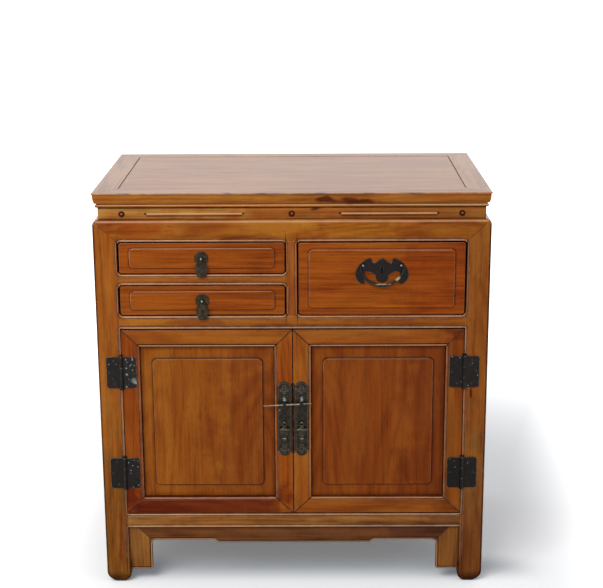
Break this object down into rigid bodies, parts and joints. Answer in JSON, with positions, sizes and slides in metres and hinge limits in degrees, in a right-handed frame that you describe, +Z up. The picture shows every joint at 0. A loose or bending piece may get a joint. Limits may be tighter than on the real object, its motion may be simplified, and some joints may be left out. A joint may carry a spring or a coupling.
{
  "type": "side cabinet with drawers and doors",
  "caption": "Low hardwood side cabinet with drawers above a cupboard, mitred frames, raised-field panels, a moulded top, carved apron and old metal fittings.",
  "frame": {"origin": "on the floor, below the middle of the whole box in width and depth", "axes": "+X to the right seen from the front, +Y from the front to the back, +Z up"},
  "size_m": [0.8, 0.494, 0.846],
  "materials": {
    "frame_wood": "oiled, satin",
    "panel_wood": "oiled, satin",
    "inner_wood": "bare, matt",
    "hardware": "dark patina, worn on the edges",
    "pin_metal": "pale, rubbed"
  },
  "bodies": {
    "root": {"leg_front_left": "frame_wood", "leg_front_right": "frame_wood", "leg_back_left": "frame_wood", "leg_back_right": "frame_wood", "top_rail_front": "frame_wood", "top_rail_back": "frame_wood", "top_ends": "frame_wood", "top_panel": "panel_wood", "top_battens": "inner_wood", "waist_front": "frame_wood", "waist_sides_back": "frame_wood", "waist_bosses": "panel_wood", "upper_rail_front": "frame_wood", "upper_rails_side": "frame_wood", "drawer_rail": "frame_wood", "drawer_divider": "frame_wood", "middle_rail_front": "frame_wood", "bottom_rail_front": "frame_wood", "bottom_rails_side": "frame_wood", "back_rails": "frame_wood", "side_panels": "panel_wood", "back_panels": "inner_wood", "dust_board": "inner_wood", "cupboard_floor": "inner_wood", "drawer_partition": "inner_wood", "drawer_runners": "inner_wood", "apron_front": "frame_wood", "aprons_side": "frame_wood", "apron_brackets": "frame_wood", "hinge_leaves_legs": "hardware", "hinge_pins": "hardware", "hinge_nails_legs": "hardware"},
    "drawer_upper_left": {"drawer_upper_left_front": "panel_wood", "drawer_upper_left_box": "inner_wood", "drawer_upper_left_plate": "hardware"},
    "pull_upper_left": {"drawer_upper_left_pull": "hardware"},
    "drawer_lower_left": {"drawer_lower_left_front": "panel_wood", "drawer_lower_left_box": "inner_wood", "drawer_lower_left_plate": "hardware"},
    "pull_lower_left": {"drawer_lower_left_pull": "hardware"},
    "drawer_right": {"drawer_right_front": "panel_wood", "drawer_right_box": "inner_wood", "drawer_right_plate": "hardware"},
    "bail_right": {"drawer_right_bail": "hardware"},
    "door_left": {"door_left_stiles": "frame_wood", "door_left_rails": "frame_wood", "door_left_panel": "panel_wood", "door_left_hinge_leaves": "hardware", "door_left_nails": "hardware", "door_left_lock_plate": "hardware"},
    "pull_door_left": {"door_left_pull": "hardware"},
    "door_right": {"door_right_stiles": "frame_wood", "door_right_rails": "frame_wood", "door_right_panel": "panel_wood", "door_right_hinge_leaves": "hardware", "door_right_nails": "hardware", "door_right_lock_plate": "hardware"},
    "pull_door_right": {"door_right_pull": "hardware"},
    "lock_pin": {"lock_pin": "pin_metal"}
  },
  "joints": [
    {"name": "drawer_upper_left_slide", "type": "slide", "parent": "root", "child": "drawer_upper_left", "axis": [0, -1, 0], "range_m": [0, 0.3]},
    {"name": "drawer_lower_left_slide", "type": "slide", "parent": "root", "child": "drawer_lower_left", "axis": [0, -1, 0], "range_m": [0, 0.3]},
    {"name": "drawer_right_slide", "type": "slide", "parent": "root", "child": "drawer_right", "axis": [0, -1, 0], "range_m": [0, 0.3]},
    {"name": "door_left_hinge", "type": "hinge", "parent": "root", "child": "door_left", "pos_m": [-0.352, -0.2357, 0.3617], "axis": [0, 0, -1], "range_deg": [0, 165]},
    {"name": "door_right_hinge", "type": "hinge", "parent": "root", "child": "door_right", "pos_m": [0.352, -0.2357, 0.3617], "axis": [0, 0, 1], "range_deg": [0, 165]},
    {"name": "pull_upper_left_hinge", "type": "hinge", "parent": "drawer_upper_left", "child": "pull_upper_left", "pos_m": [-0.18222, -0.2382, 0.7129], "axis": [-1, 0, 0], "range_deg": [0, 105]},
    {"name": "pull_lower_left_hinge", "type": "hinge", "parent": "drawer_lower_left", "child": "pull_lower_left", "pos_m": [-0.18222, -0.2382, 0.62455], "axis": [-1, 0, 0], "range_deg": [0, 105]},
    {"name": "bail_right_hinge", "type": "hinge", "parent": "drawer_right", "child": "bail_right", "pos_m": [0.18113, -0.239, 0.69825], "axis": [-1, 0, 0], "range_deg": [0, 105]},
    {"name": "pull_door_left_hinge", "type": "hinge", "parent": "door_left", "child": "pull_door_left", "pos_m": [-0.018, -0.2382, 0.3634], "axis": [-1, 0, 0], "range_deg": [0, 105]},
    {"name": "pull_door_right_hinge", "type": "hinge", "parent": "door_right", "child": "pull_door_right", "pos_m": [0.018, -0.2382, 0.3634], "axis": [-1, 0, 0], "range_deg": [0, 105]},
    {"name": "lock_pin_slide", "type": "slide", "parent": "door_left", "child": "lock_pin", "axis": [-0.9988, 0, -0.0489], "range_m": [0, 0.05]}
  ]
}
